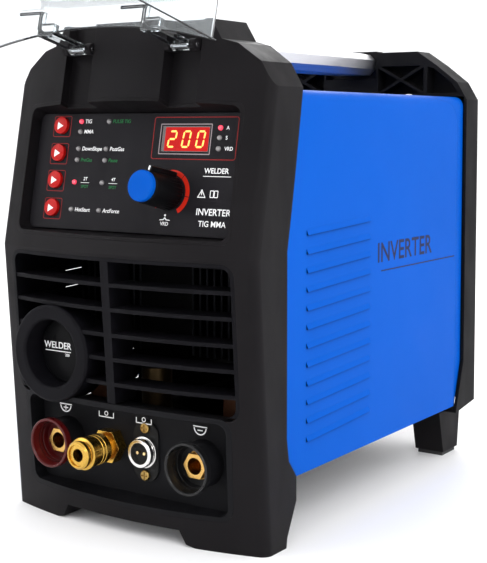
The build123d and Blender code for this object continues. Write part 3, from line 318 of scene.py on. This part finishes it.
finishes = {
    "front_bezel": moulded("bezel_black", BLACK, 0.46),
    "panel_surround": moulded("surround_black", BLACK, 0.46),
    # The grille's black is darker than the bezel's: painted shade on the slats set back in their openings.
    "front_grille": moulded("grille_black", (0.0024, 0.0022, 0.0034), 0.55, wear=0.1),
    "socket_tray": moulded("tray_grey_black", (0.0046, 0.0046, 0.0056), 0.5, wear=0.15),
    "rear_bezel": moulded("rear_black", (0.0044, 0.0042, 0.0048), 0.55, wear=0.2),
    "rear_panel": moulded("rear_panel_black", BLACK, 0.52),
    "badge_disc": moulded("badge_black", (0.003, 0.003, 0.0035), 0.34, depth=0.02),
    "panel_cover": clear_sheet("clear_cover"),
    "cover_hinge_pins": metal("pin_steel", (0.62, 0.62, 0.64), 0.25),
    "control_plate": moulded("foil_black", (0.0085, 0.0078, 0.0095), 0.48, 2200.0, 0.02, 0.0),
    "display_window": glossy("window_dark", (0.03, 0.006, 0.006), 0.12, 0.6),
    "display_module": glossy("display_block", (0.03, 0.01, 0.01)),
    "led_lenses_lit": lens("lamp_lit", (0.75, 0.05, 0.08), 0.75, (1.0, 0.08, 0.14)),
    "led_lenses_off": lens("lamp_off", (0.26, 0.25, 0.25)),
    "button": glossy("key_red", (0.42, 0.006, 0.005), 0.32, 0.05, 0.15),
    "knob_body": moulded("knob_black", (0.002, 0.002, 0.0025), 0.42, 1800.0, 0.02, 0.1),
    "knob_cap": glossy("cap_blue", (0.0, 0.072, 0.40), 0.45, 0.0, 0.04),
    "encoder_shaft": metal("shaft_brass", BRASS, 0.3),
    "control_pcb": circuit_board("control_board"),
    "cover_shell": powder_coat("coat_blue", (0.0, 0.080, 0.45)),
    "case_screws": metal("screw_plate", (0.7, 0.7, 0.71), 0.22),
    "rear_feet": moulded("leg_black", BLACK, 0.52),
    "rear_foot_pads": rubber("pad_rubber"),
    "handle_bar": metal("bar_anodised", (0.74, 0.74, 0.76), 0.42, ALONG_Y, 40.0, 0.92, 0.02, 0.0),
    "handle_collars": moulded("collar_black", BLACK, 0.45),
    "socket_positive_cup": glossy("cup_red", (0.062, 0.0025, 0.003), 0.34, 0.05),
    "socket_negative_cup": glossy("cup_black", (0.0045, 0.0045, 0.005), 0.34, 0.05),
    "socket_contact": metal("contact_brass", BRASS, 0.24, ROUND, 300.0),
    "mounting_nuts": metal("nut_plate", (0.6, 0.6, 0.6), 0.3),
    "gas_coupler_body": metal("coupler_brass", GOLD, 0.26, ROUND, 300.0),
    "gas_coupler_sleeve": metal("sleeve_brass", GOLD, 0.24, ROUND, 300.0),
    "control_socket_shell": metal("shell_nickel", (0.78, 0.77, 0.75), 0.16, ROUND, 300.0),
    "control_socket_insert": moulded("insert_black", (0.012, 0.012, 0.012), 0.4, wear=0.0),
    "control_socket_pins": metal("pin_gilt", (0.83, 0.62, 0.30), 0.2),
    "control_socket_screws": metal("screw_brass", (0.38, 0.25, 0.08), 0.35),
    "base_tray": powder_coat("tray_black", (0.03, 0.03, 0.032)),
    # Black anodised fins, darkened further to near-black as painted shade for the case's dark inside.
    "heatsinks": metal("fin_black_anodised_and_shade", (0.010, 0.010, 0.012), 0.5, ALONG_Y, 60.0),
    "power_modules": moulded("module_black", (0.02, 0.02, 0.02), 0.5, wear=0.0),
    "main_pcb": circuit_board("main_board"),
    "capacitors": glossy("can_sleeve", (0.01, 0.02, 0.07), 0.3),
    "transformer_core": moulded("ferrite", (0.035, 0.033, 0.033), 0.6, 500.0, 0.1, 0.2),
    "transformer_winding": winding("copper_winding"),
    "output_choke": winding("choke_winding"),
    # Brass of the valve and copper of the busbars are dulled far below their own colours: painted shade inside the
    # case.
    "solenoid_valve": metal("valve_brass_painted_shade", (0.10, 0.065, 0.03), 0.4),
    "gas_hoses": rubber("hose_rubber"),
    "busbars": metal("bar_copper_painted_shade", (0.16, 0.07, 0.04), 0.4),
    "fan_frame": moulded("fan_black", (0.015, 0.015, 0.015), 0.5, wear=0.0),
    "fan_rotor": moulded("rotor_black", (0.017, 0.017, 0.018), 0.45, wear=0.0),
    "fan_guard": metal("guard_wire", (0.62, 0.62, 0.63), 0.25),
    "mains_switch_body": glossy("switch_black", (0.015, 0.015, 0.015), 0.3),
    "mains_switch_rocker": glossy("rocker_red", (0.5, 0.015, 0.012), 0.22, 0.5),
    "cable_gland": moulded("gland_nylon", (0.02, 0.02, 0.02), 0.42, wear=0.2),
    "cable_gland_cap": moulded("gland_cap_nylon", (0.02, 0.02, 0.02), 0.42, wear=0.2),
    "gas_inlet": metal("inlet_brass", BRASS, 0.26, ROUND, 300.0),
    "earth_stud": metal("stud_zinc", (0.6, 0.6, 0.6), 0.3),
    "rating_plate": metal("plate_anodised", (0.62, 0.62, 0.63), 0.4, (1.0, 1.0, 30.0), 40.0),
}
inks = {
    # The white print and the scale carry a faint glow: painted light, as printed ink is no lamp.
    "white": ink("ink_white", (0.84, 0.84, 0.84), 0.10),
    "red": ink("ink_red", (0.24, 0.012, 0.012)),
    "scale": ink("ink_scale", (0.46, 0.014, 0.004), 0.05),
    "green": ink("ink_green", (0.010, 0.15, 0.040)),
    "dark": ink("ink_dark", (0.02, 0.02, 0.022)),
    "navy": ink("ink_navy", (0.004, 0.008, 0.05)),
    "grey": ink("ink_grey", (0.30, 0.25, 0.26)),
}
# Dark glossy finish for tubes laid on the clear cover's edges: painted shade for the dark look of its clear edges.
painted_dark_edge = glossy("painted_dark_edge", (0.004, 0.004, 0.006), 0.15, 0.15)
display_red = ink("display_red", (0.34, 0.002, 0.0015), 0.6)
digit_light = ink("digit_light", (1.0, 0.42, 0.10), 1.5)


def dress_nodes():
    """Give each CAD node the finish of its material slot."""
    for part in frame["record"]["subparts"]:
        thing = nodes[part["node"]]
        thing.data.materials.clear()
        thing.data.materials.append(finishes[part["material_slot"]].material)


# ---------------------------------------------------------------- drawn marks

def outline_mesh(outlines, thickness):
    """Filled flat shape from closed outlines in mm; an outline inside another is a hole."""
    curve = bpy.data.curves.new("outline", "CURVE")
    curve.dimensions = "2D"
    curve.fill_mode = "BOTH"
    curve.extrude = thickness / 2
    for points in outlines:
        spline = curve.splines.new("POLY")
        spline.points.add(len(points) - 1)
        for point, (x, y) in zip(spline.points, points):
            point.co = (x, y, 0, 1)
        spline.use_cyclic_u = True
    return baked(curve)


def text_mesh(words, size, thickness, shear=0.0, align="LEFT"):
    """Words in the plain built-in typeface, sizes in mm."""
    curve = bpy.data.curves.new("words", "FONT")
    curve.body = words
    curve.size = size
    curve.shear = shear
    curve.align_x = align
    curve.align_y = "CENTER"
    curve.offset = 0.012 * size
    curve.extrude = thickness / 2
    return baked(curve)


def baked(curve):
    """The curve as a mesh; the curve itself is removed."""
    thing = bpy.data.objects.new("drawn", curve)
    mesh = bpy.data.meshes.new_from_object(thing)
    bpy.data.objects.remove(thing)
    bpy.data.curves.remove(curve)
    return mesh


def piece(name, drawn, shader, body):
    """One object from meshes drawn in mm, each with its place."""
    joined = bmesh.new()
    for mesh, place in drawn:
        mesh.transform(place @ Matrix.Scale(MM, 4))
        joined.from_mesh(mesh)
        bpy.data.meshes.remove(mesh)
    data = bpy.data.meshes.new(name)
    joined.to_mesh(data)
    joined.free()
    thing = bpy.data.objects.new(name, data)
    bpy.context.scene.collection.objects.link(thing)
    data.materials.append(shader.material)
    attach(thing, body)
    return thing


def rounded(width, height, radius, steps=5):
    """Outline of a rectangle with round corners."""
    points = []
    for corner, (sx, sy) in enumerate(((1, 1), (-1, 1), (-1, -1), (1, -1))):
        for step in range(steps + 1):
            angle = math.radians(90 * corner + 90 * step / steps)
            points.append((sx * (width / 2 - radius) + radius * math.cos(angle),
                           sy * (height / 2 - radius) + radius * math.sin(angle)))
    return points


def frame_lines(width, height, radius, line):
    """The two outlines of a rounded frame of that line width."""
    inner = rounded(width - 2 * line, height - 2 * line, max(radius - line, 0.2))
    return [rounded(width, height, radius), inner]


def arc_band(inner, outer, start, end, steps=14):
    """Part of a ring between two angles in degrees."""
    angles = [math.radians(start + (end - start) * i / steps) for i in range(steps + 1)]
    out = [(outer * math.cos(a), outer * math.sin(a)) for a in angles]
    back = [(inner * math.cos(a), inner * math.sin(a)) for a in reversed(angles)]
    return out + back


def circle(radius, steps=28):
    angles = [2 * math.pi * i / steps for i in range(steps)]
    return [(radius * math.cos(a), radius * math.sin(a)) for a in angles]


def shifted(place, x, y):
    """The place moved in its own plane, in mm."""
    return place @ Matrix.Translation((x * MM, y * MM, 0))


FILM = 0.06                # thickness of printed film, mm
SIDE_FIELD_X = 126.5       # raised field of the side walls
COVER_OPEN = 93.0          # clear cover: degrees from shut to the raised rest place
CLEAR_HALF = 112.4         # half its width
CLEAR_NEAR = 40.0          # from the hinge axis to its near and far walls
CLEAR_FAR = 153.0
CLEAR_EDGE = 3.2           # free edge in front of the hinge axis
CLEAR_ARM = 52.0           # arms left and right of the middle
CLEAR_SHELF = 19.0         # stepped plates in front of the hinge axis
BOW_R = 430.0              # bow of the machine's front, which the free edge follows
LAMP_X = (-57.5, -28.0)
LABEL_GAP = 3.5            # from lamp to its words
WHITE_WORDS = [("TIG", 0, 327.0), ("MMA", 0, 318.7), ("DownSlope", 0, 304.9), ("PostGas", 1, 304.9),
               ("HotStart", 0, 255.8), ("ArcForce", 1, 255.8)]
GREEN_WORDS = [("PULSE TIG", 1, 327.0), ("PreGas", 0, 295.8), ("Pause", 1, 295.8)]
UNITS = [("A", 322.0), ("S", 314.4), ("VRD", 306.2)]
UNITS_X = 88.0
SCALE_RADII = (14.2, 18.0)
SCALE_SPANS = ((-60, -10), (-8, 50), (52, 98), (100, 144), (146, 186), (188, 224))     # degrees from +X
KEY_X = -78.2
KEY_DOME = 23.2            # radius of a key's dome
KEY_TOP = 3.68             # its crown above the panel, with the print on it
KEYS = [("button_1", "button_tig"), ("button_2", "button_mode"), ("button_3", "button_trigger"),
        ("button_4", "button_arc")]
SIDE_WORD = (263.0, 214.0)     # behind the front line, and height
SIDE_LINE = (292.0, 199.0)
FLANGE = 1.55              # of the control socket's insert


def middle(node):
    """Middle of the node's box, in metres."""
    low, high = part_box(node)
    return (low + high) / 2


def printed_panel():
    """Words, frames and scale printed on the control plate."""
    lift = FILM / 2
    white, green, red, grey, scale = [], [], [], [], []
    for words, column, z in WHITE_WORDS:
        white.append((text_mesh(words, 4.5, FILM, 0.12), on_panel(LAMP_X[column] + LABEL_GAP, z, lift)))
    for words, column, z in GREEN_WORDS:
        green.append((text_mesh(words, 4.1, FILM, 0.12), on_panel(LAMP_X[column] + LABEL_GAP, z, lift)))
    for words, column in (("2T", 0), ("4T", 1)):
        x = LAMP_X[column] + 11.0
        white.append((text_mesh(words, 3.7, FILM, 0.12, "CENTER"), on_panel(x, 280.6, lift)))
        white.append((outline_mesh([rounded(9.0, 0.35, 0.15)], FILM), on_panel(x, 277.6, lift)))
        green.append((text_mesh("SPOT", 3.3, FILM, 0.0, "CENTER"), on_panel(x, 274.4, lift)))
    for words, z in UNITS:
        white.append((text_mesh(words, 4.0, FILM), on_panel(UNITS_X, z, lift)))
    for node, _ in KEYS:
        z = middle(node).z / MM
        red.append((outline_mesh(frame_lines(19.0, 17.6, 1.8, 0.55), FILM), on_panel(KEY_X, z, lift)))
    window = middle("display_window") / MM
    red.append((outline_mesh(frame_lines(80.5, 33.5, 2.2, 0.65), FILM), on_panel(58.7, 314.1, lift)))
    grey.append((outline_mesh(frame_lines(49.5, 24.2, 0.8, 0.8), FILM), on_panel(window.x, window.z, lift)))
    x, z = knob_spot()
    for start, end in SCALE_SPANS:
        scale.append((outline_mesh([arc_band(*SCALE_RADII, start, end)], FILM), on_panel(x, z, lift)))
    white.append((outline_mesh([circle(0.9)], FILM), on_panel(x - 3.0, z - 17.2, lift)))
    white.append((outline_mesh([[(-5, -0.2), (-1.4, 0.2), (-0.5, 1.6), (0.5, 1.6), (1.4, 0.2), (5, -0.2),
                                 (5, -0.8), (1.0, -0.5), (0, 0.8), (-1.0, -0.5), (-5, -0.8)]], FILM),
                  on_panel(x - 3.0, z - 20.4, lift)))
    white.append((text_mesh("VRD", 4.0, FILM, 0.0, "CENTER"), on_panel(x - 3.0, z - 23.8, lift)))
    white.append((text_mesh("WELDER", 5.8, FILM, 0.0, "CENTER"), on_panel(83.0, 289.4, lift)))
    white.append((outline_mesh([rounded(26.0, 0.5, 0.2)], FILM), on_panel(84.0, 285.4, lift)))
    triangle = [[(0, 3.4), (-4.0, -3.2), (4.0, -3.2)], [(0, 2.0), (-2.9, -2.5), (2.9, -2.5)]]
    white.append((outline_mesh(triangle, FILM), on_panel(71.5, 272.4, lift)))
    white.append((outline_mesh([rounded(0.7, 2.6, 0.3)], FILM), on_panel(71.5, 272.4, lift)))
    for side in (-1, 1):
        leaf = on_panel(83.0 + 1.9 * side, 272.2, lift)
        white.append((outline_mesh(frame_lines(3.7, 5.6, 0.6, 0.6), FILM), leaf))
    white.append((text_mesh("INVERTER", 7.2, FILM, 0.0, "CENTER"), on_panel(84.0, 258.4, lift)))
    white.append((text_mesh("TIG MMA", 6.2, FILM, 0.0, "CENTER"), on_panel(84.0, 249.6, lift)))
    for name, drawn in (("white", white), ("green", green), ("red", red), ("grey", grey), ("scale", scale)):
        piece(f"print_{name}", drawn, inks[name], "case")


def knob_spot():
    """The knob's x and height in mm."""
    return KNOB_POS.x / MM, KNOB_POS.z / MM


def digit(lit):
    """Seven-segment figure: lit holds the names of its lit bars."""
    wide, tall, line, slant = 6.4, 6.1, 1.5, 0.14
    bars = {"a": (0, tall, 0), "g": (0, 0, 0), "d": (0, -tall, 0), "f": (-wide / 2, tall / 2, 90),
            "b": (wide / 2, tall / 2, 90), "e": (-wide / 2, -tall / 2, 90), "c": (wide / 2, -tall / 2, 90)}
    shapes = []
    for name in lit:
        cx, cy, turn = bars[name]
        reach = (wide if turn == 0 else tall) / 2 - 0.35
        bar = [(-reach, 0), (line / 2 - reach, line / 2), (reach - line / 2, line / 2), (reach, 0),
               (reach - line / 2, -line / 2), (line / 2 - reach, -line / 2)]
        cos, sin = math.cos(math.radians(turn)), math.sin(math.radians(turn))
        moved = [(cx + x * cos - y * sin, cy + x * sin + y * cos) for x, y in bar]
        shapes.append([(x + slant * y, y) for x, y in moved])
    return shapes


def display():
    """Lit red field and the three figures, just in front of the dark window."""
    window = middle("display_window") / MM
    face = -0.3
    field = outline_mesh([rounded(42.0, 18.6, 0.8)], 0.05)
    piece("display_field", [(field, on_panel(window.x + 1.2, window.z, face + 0.04))],
          display_red, "case")
    drawn = []
    for x, lit in ((-13.2, "abged"), (0.4, "abcdef"), (14.0, "abcdef")):
        place = on_panel(window.x + x + 0.6, window.z, face + 0.10)
        drawn.append((outline_mesh(digit(lit), 0.05), place))
    piece("display_figures", drawn, digit_light, "case")


def domed_triangle(corners, dome, top, steps=8):
    """Thin triangle that follows a dome of that radius, whose crown is at height top."""
    joined = bmesh.new()
    first, second, third = [Vector(corner) for corner in corners]
    grid = {}
    for i in range(steps + 1):
        for j in range(steps + 1 - i):
            spot = first + (second - first) * i / steps + (third - first) * j / steps
            drop = dome - math.sqrt(dome * dome - spot.x ** 2 - spot.y ** 2)
            grid[i, j] = joined.verts.new((spot.x, spot.y, top - drop))
    for i, j in grid:
        if i + j < steps:
            joined.faces.new((grid[i, j], grid[i + 1, j], grid[i, j + 1]))
        if i + j < steps - 1:
            joined.faces.new((grid[i + 1, j], grid[i + 1, j + 1], grid[i, j + 1]))
    grown = bmesh.ops.extrude_face_region(joined, geom=joined.faces[:])
    raised = [item for item in grown["geom"] if isinstance(item, bmesh.types.BMVert)]
    bmesh.ops.translate(joined, vec=(0, 0, -0.2), verts=raised)
    bmesh.ops.recalc_face_normals(joined, faces=joined.faces[:])
    data = bpy.data.meshes.new("triangle")
    joined.to_mesh(data)
    joined.free()
    return data


def key_marks():
    """White triangle printed on the dome of each key."""
    for node, body in KEYS:
        data = domed_triangle([(-2.3, 3.2), (-2.3, -3.2), (3.7, 0.0)], KEY_DOME, KEY_TOP)
        place = on_panel(KEY_X, middle(node).z / MM)
        piece(f"{node}_triangle", [(data, place)], inks["white"], body)


def knob_tick():
    """White tick at the front end of the knob's pointer."""
    reach, lift, angle = 14.6, 33.83, math.radians(76)
    x, z = knob_spot()
    turned = on_panel(x, z) @ Matrix.Translation(Vector((0, 0, lift * MM))) @ Matrix.Rotation(angle, 4, "Z")
    tick = outline_mesh([rounded(3.4, 1.6, 0.3)], 0.1)
    tick.transform(Matrix.Translation((reach, 0, 0)))
    piece("knob_tick", [(tick, turned)], inks["white"], "knob")


def socket_marks():
    """Plain white symbols over the front sockets."""
    floor = INSERT_Y + FLANGE * MM - FILM * MM / 2
    drawn = []
    for x, plus in ((-70.0, True), (68.5, False)):
        place = facing_front(x, floor, 92.0)
        drawn.append((outline_mesh([arc_band(5.2, 6.2, 184, 356)], FILM), place))
        drawn.append((outline_mesh([rounded(13.4, 0.9, 0.2)], FILM), shifted(place, 0, 0.6)))
        drawn.append((outline_mesh([rounded(5.0, 0.9, 0.1)], FILM), shifted(place, 0, -2.3)))
        if plus:
            drawn.append((outline_mesh([rounded(0.9, 4.0, 0.1)], FILM), shifted(place, 0, -2.3)))
    for x in (-26.0, 13.0):
        place = facing_front(x, floor, 90.5)
        drawn.append((outline_mesh([rounded(16.0, 0.8, 0.3)], FILM), shifted(place, 0, -3.0)))
        for side in (-1, 1):
            drawn.append((outline_mesh([rounded(0.8, 4.6, 0.3)], FILM), shifted(place, side * 7.6, -1.0)))
        drawn.append((outline_mesh([circle(2.0), circle(1.3)], FILM), place))
    piece("print_sockets", drawn, inks["white"], "case")


def badge_mark():
    """Plain word, underlined, on the round badge."""
    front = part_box("badge_disc")[0].y + 0.05 * MM
    spot = middle("badge_disc") / MM
    drawn = [(text_mesh("WELDER", 7.6, 0.3, 0.0, "CENTER"), facing_front(spot.x - 8.5, front, spot.z + 3.0)),
             (outline_mesh([rounded(28.0, 0.7, 0.2)], 0.3), facing_front(spot.x - 8.0, front, spot.z - 1.6)),
             (text_mesh("200", 3.2, 0.3, 0.0, "CENTER"), facing_front(spot.x + 2.0, front, spot.z - 4.2))]
    piece("badge_mark", drawn, inks["white"], "case")


def wire_mesh(paths, radius):
    """Round wires through points in mm."""
    curve = bpy.data.curves.new("wires", "CURVE")
    curve.dimensions = "3D"
    curve.bevel_depth = radius
    curve.bevel_resolution = 1
    curve.use_fill_caps = True
    for points in paths:
        spline = curve.splines.new("POLY")
        spline.points.add(len(points) - 1)
        for point, spot in zip(spline.points, points):
            point.co = (*spot, 1)
    return baked(curve)


def cover_edges():
    """Dark glossy tubes along the clear cover's polished edges, painted shade for the dark look of its clear
    edges: its rim, and the stepped plates on its two arms.
    """
    hinge = Vector(joints["cover_hinge"]["pos_m"])
    closed = basis(Vector((0, 0, 0)), Vector((1, 0, 0)), PANEL_UP)
    opened = Matrix.Translation(hinge) @ Matrix.Rotation(math.radians(-COVER_OPEN), 4, "X") @ closed
    spans = [CLEAR_HALF * step / 8 for step in range(-8, 9)]
    near, far = [], []
    for x in spans:
        rise = CLEAR_EDGE + 0.4 - x * x / (2 * BOW_R)
        near.append((x, 0.8 - CLEAR_NEAR, rise))
        far.append((x, 1.0 - CLEAR_FAR, rise))
    rim = [near, far, [near[0], far[0]], [near[-1], far[-1]]]
    wall = -CLEAR_NEAR - 0.8
    steps = []
    for x in (-CLEAR_ARM, CLEAR_ARM):
        for inset in (0.0, 2.2):
            shelf = CLEAR_SHELF - inset
            steps.append([(x - 30, wall, shelf), (x - 9 + inset, wall, shelf),
                          (x - 8 + inset, wall, shelf - 1), (x - 8 + inset, wall, 4.5),
                          (x - 8 + inset, -CLEAR_NEAR + 6, 3.2), (x - 8 + inset, -3.5, 3.2)])
    # Painted shade: dark tubes along the rim and the arms' stepped plates.
    piece("cover_rim_painted_dark", [(wire_mesh(rim, 0.55), opened)], painted_dark_edge, "clear_cover")
    piece("cover_arm_edges_painted_dark", [(wire_mesh(steps, 0.75), opened)], painted_dark_edge, "clear_cover")


def side_marks():
    """Plain word, underlined, on both sides of the cover."""
    drawn = []
    for side in (-1, 1):
        wall = side * (SIDE_FIELD_X + FILM / 2) * MM
        word = text_mesh("INVERTER", 24.0, FILM, 0.0, "CENTER")
        line = outline_mesh([rounded(150.0, 1.1, 0.3)], FILM)
        for mesh, (length, height) in ((word, SIDE_WORD), (line, SIDE_LINE)):
            spot = Vector((wall, FRONT_Y + length * MM, height * MM))
            drawn.append((mesh, basis(spot, Vector((0, side, 0)), Vector((0, 0, 1)))))
    piece("print_sides", drawn, inks["navy"], "case")


def rear_marks():
    """Off and on symbols on the mains switch's frame."""
    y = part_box("mains_switch_body")[1].y
    spot = middle("mains_switch_body") / MM
    drawn = [(outline_mesh([rounded(0.5, 3.0, 0.1)], FILM), facing_back(spot.x, y, spot.z + 14.6)),
             (outline_mesh([circle(1.3), circle(0.9)], FILM), facing_back(spot.x, y, spot.z - 14.6))]
    piece("switch_marks", drawn, inks["white"], "case")


def rating_print():
    """Made-up data lines on the rear plate; they are not ratings of a real machine."""
    low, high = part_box("rating_plate")
    spot = (low + high) / 2 / MM
    room = (high - low) / MM
    lines = ["WELDING POWER SOURCE", "INPUT 230 V 1~ 50/60 Hz", "OUTPUT 10-200 A", "COOLING: FAN"]
    drawn = []
    for row, words in enumerate(lines):
        place = facing_back(spot.x, high.y, spot.z + room.z * (0.32 - 0.21 * row))
        drawn.append((text_mesh(words, room.z * 0.13, FILM, 0.0, "CENTER"), place))
    border = outline_mesh(frame_lines(room.x - 2, room.z - 2, 1.0, 0.5), FILM)
    drawn.append((border, facing_back(spot.x, high.y, spot.z)))
    piece("rating_print", drawn, inks["dark"], "case")


# ---------------------------------------------------------------- studio

def studio():
    """Round pale floor that curves up into a wall, a white world and soft lights."""
    profile = [(2.6, 0.0)]
    for step in range(1, 9):
        angle = math.radians(90 * step / 8)
        profile.append((2.6 + 1.6 * math.sin(angle), 1.6 * (1 - math.cos(angle))))
    profile.append((4.2, 3.2))
    made = bmesh.new()
    turns = 64
    rings = []
    for r, z in profile:
        ring = []
        for step in range(turns):
            angle = 2 * math.pi * step / turns
            ring.append(made.verts.new((r * math.cos(angle), r * math.sin(angle), z)))
        rings.append(ring)
    made.faces.new(rings[0])
    for inner, outer in zip(rings, rings[1:]):
        for i in range(turns):
            j = (i + 1) % turns
            made.faces.new((inner[i], outer[i], outer[j], inner[j]))
    data = bpy.data.meshes.new("floor")
    made.to_mesh(data)
    made.free()
    data.shade_smooth()
    floor = bpy.data.objects.new("floor", data)
    bpy.context.scene.collection.objects.link(floor)
    pale = Shader("floor_pale", (0.93, 0.93, 0.94), 0.7)
    pale.put("Roughness", pale.span(pale.noise(3.0), 0.3, 0.7, 0.6, 0.8))
    data.materials.append(pale.material)

    world = bpy.data.worlds.new("studio")
    world.use_nodes = True
    world.node_tree.nodes["Background"].inputs["Color"].default_value = (1.0, 1.0, 1.0, 1.0)
    world.node_tree.nodes["Background"].inputs["Strength"].default_value = 1.2
    bpy.context.scene.world = world
    bpy.context.scene.view_settings.view_transform = "Standard"
    for name, place, aim, size, power in (
            ("key", (1.9, -1.4, 1.9), (0, 0, 0.2), 1.4, 34.0),
            ("fill", (-1.7, -2.0, 1.3), (0, -0.15, 0.2), 1.6, 16.0),
            ("side", (2.4, 0.6, 0.9), (0, 0.05, 0.2), 1.5, 14.0),
            ("rim", (-0.9, 2.1, 1.9), (0, 0, 0.3), 1.4, 22.0)):
        data = bpy.data.lights.new(name, "AREA")
        data.size = size
        data.energy = power
        lamp = bpy.data.objects.new(name, data)
        lamp.location = place
        lamp.rotation_mode = "QUATERNION"
        lamp.rotation_quaternion = (Vector(aim) - Vector(place)).to_track_quat("-Z", "Y")
        bpy.context.scene.collection.objects.link(lamp)


def camera():
    """Three-quarter view from the front right, a little above the machine's shoulder."""
    azimuth, pitch = math.radians(34.24), math.radians(4.0)
    data = bpy.data.cameras.new("camera")
    data.lens = 78.3
    data.sensor_width = 36.0
    data.shift_y = -0.1236
    data.clip_start = 0.02
    data.clip_end = 50.0
    thing = bpy.data.objects.new("camera", data)
    thing.location = (0.6184, FRONT_Y - 0.7161, 0.3232)
    level = math.cos(pitch)
    ahead = Vector((-math.sin(azimuth) * level, math.cos(azimuth) * level, -math.sin(pitch)))
    thing.rotation_mode = "QUATERNION"
    thing.rotation_quaternion = ahead.to_track_quat("-Z", "Y")
    bpy.context.scene.collection.objects.link(thing)
    bpy.context.scene.camera = thing


dress_nodes()
printed_panel()
display()
key_marks()
knob_tick()
socket_marks()
badge_mark()
cover_edges()
side_marks()
rear_marks()
rating_print()
studio()
camera()
